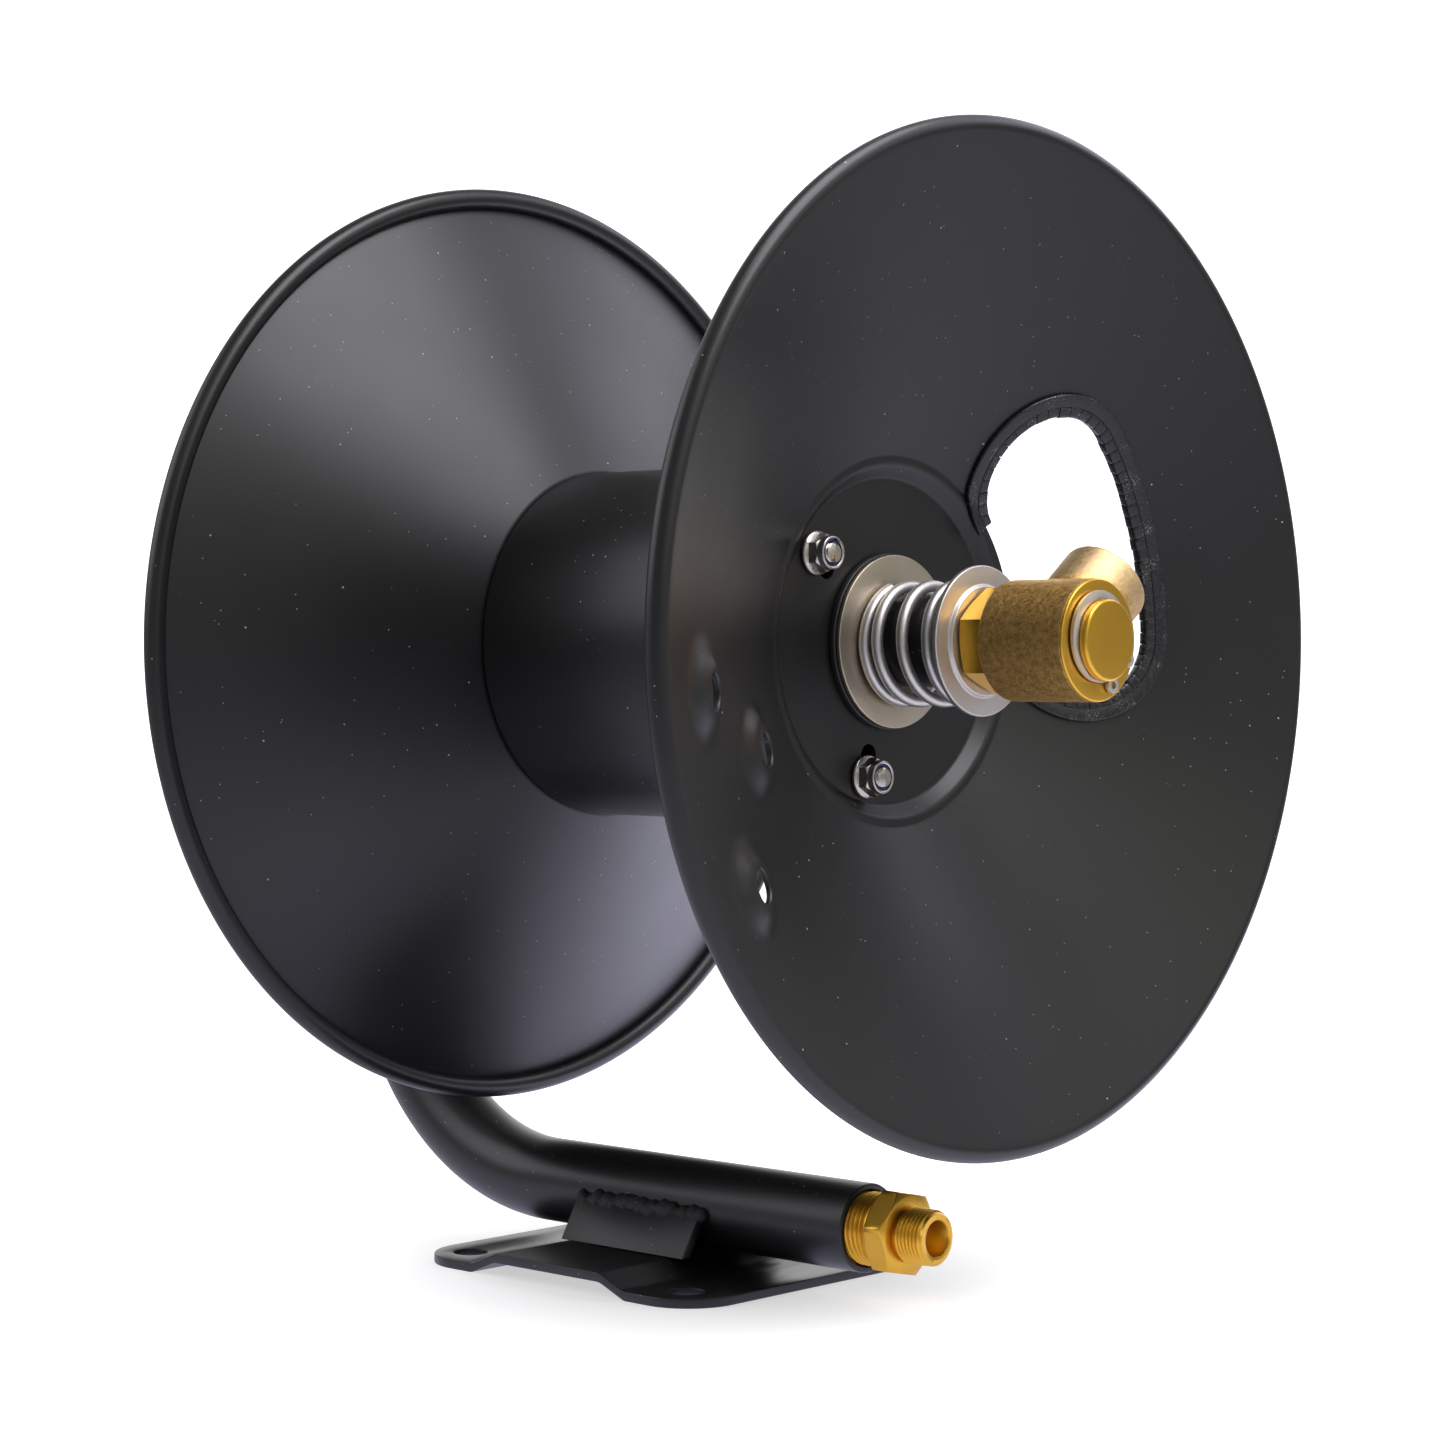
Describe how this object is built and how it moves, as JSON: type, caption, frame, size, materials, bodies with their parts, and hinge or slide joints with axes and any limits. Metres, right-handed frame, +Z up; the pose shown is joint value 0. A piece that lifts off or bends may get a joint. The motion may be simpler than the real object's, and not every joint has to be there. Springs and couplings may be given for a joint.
{
  "type": "hose reel",
  "caption": "Open hand hose reel: flared steel drum on a C-shaped water tube with a foot plate, drag spring, brass inlet nipple and brass swivel outlet.",
  "frame": {"origin": "centre of the object's box on plan, at the underside of the feet", "axes": "+Z up, +X along the drum's axle towards the brass swivel, +Y level, to the side of the drum where the swivel outlet points"},
  "size_m": [0.3172, 0.3, 0.347],
  "materials": {
    "black_paint": "satin black powder coat with fine dust",
    "black_plastic": "glossy black moulded plastic",
    "bright_steel": "bright stainless steel, lightly brushed",
    "zinc_steel": "bright zinc-plated steel",
    "blue_nylon": "dark blue nylon",
    "turned_brass": "bright turned brass with tool rings",
    "cast_brass": "sand-cast satin brass with machined faces",
    "seal_rubber": "black rubber"
  },
  "bodies": {
    "frame": {"base_plate": "black_paint", "saddle_front": "black_paint", "saddle_rear": "black_paint", "frame_tube": "black_paint", "inlet_fitting": "turned_brass", "thrust_collar": "black_paint", "thrust_washer": "bright_steel", "hub_washer": "bright_steel", "drag_spring": "bright_steel", "cup_washer": "bright_steel", "swivel_stem": "turned_brass", "snap_ring": "bright_steel"},
    "drum": {"flange_left": "black_paint", "flange_right": "black_paint", "barrel": "black_paint", "bush_left": "black_plastic", "bush_right": "black_plastic", "hose_hole_trim": "black_plastic", "tie_stud_1": "zinc_steel", "tie_stud_2": "zinc_steel", "tie_stud_3": "zinc_steel", "tie_nut_left_1": "zinc_steel", "tie_nut_left_2": "zinc_steel", "tie_nut_left_3": "zinc_steel", "tie_nut_right_1": "zinc_steel", "tie_nut_right_2": "zinc_steel", "tie_nut_right_3": "zinc_steel", "nut_insert_left_1": "blue_nylon", "nut_insert_left_2": "blue_nylon", "nut_insert_left_3": "blue_nylon", "nut_insert_right_1": "blue_nylon", "nut_insert_right_2": "blue_nylon", "nut_insert_right_3": "blue_nylon"},
    "swivel": {"swivel_body": "cast_brass", "swivel_seal_inner": "seal_rubber", "swivel_seal_outer": "seal_rubber"}
  },
  "joints": [
    {"name": "drum_spin", "type": "hinge", "parent": "frame", "child": "drum", "pos_m": [0.01922, 0, 0.19705], "axis": [1, 0, 0], "continuous": true},
    {"name": "swivel_spin", "type": "hinge", "parent": "frame", "child": "swivel", "pos_m": [0.01922, 0, 0.19705], "axis": [1, 0, 0], "continuous": true}
  ]
}
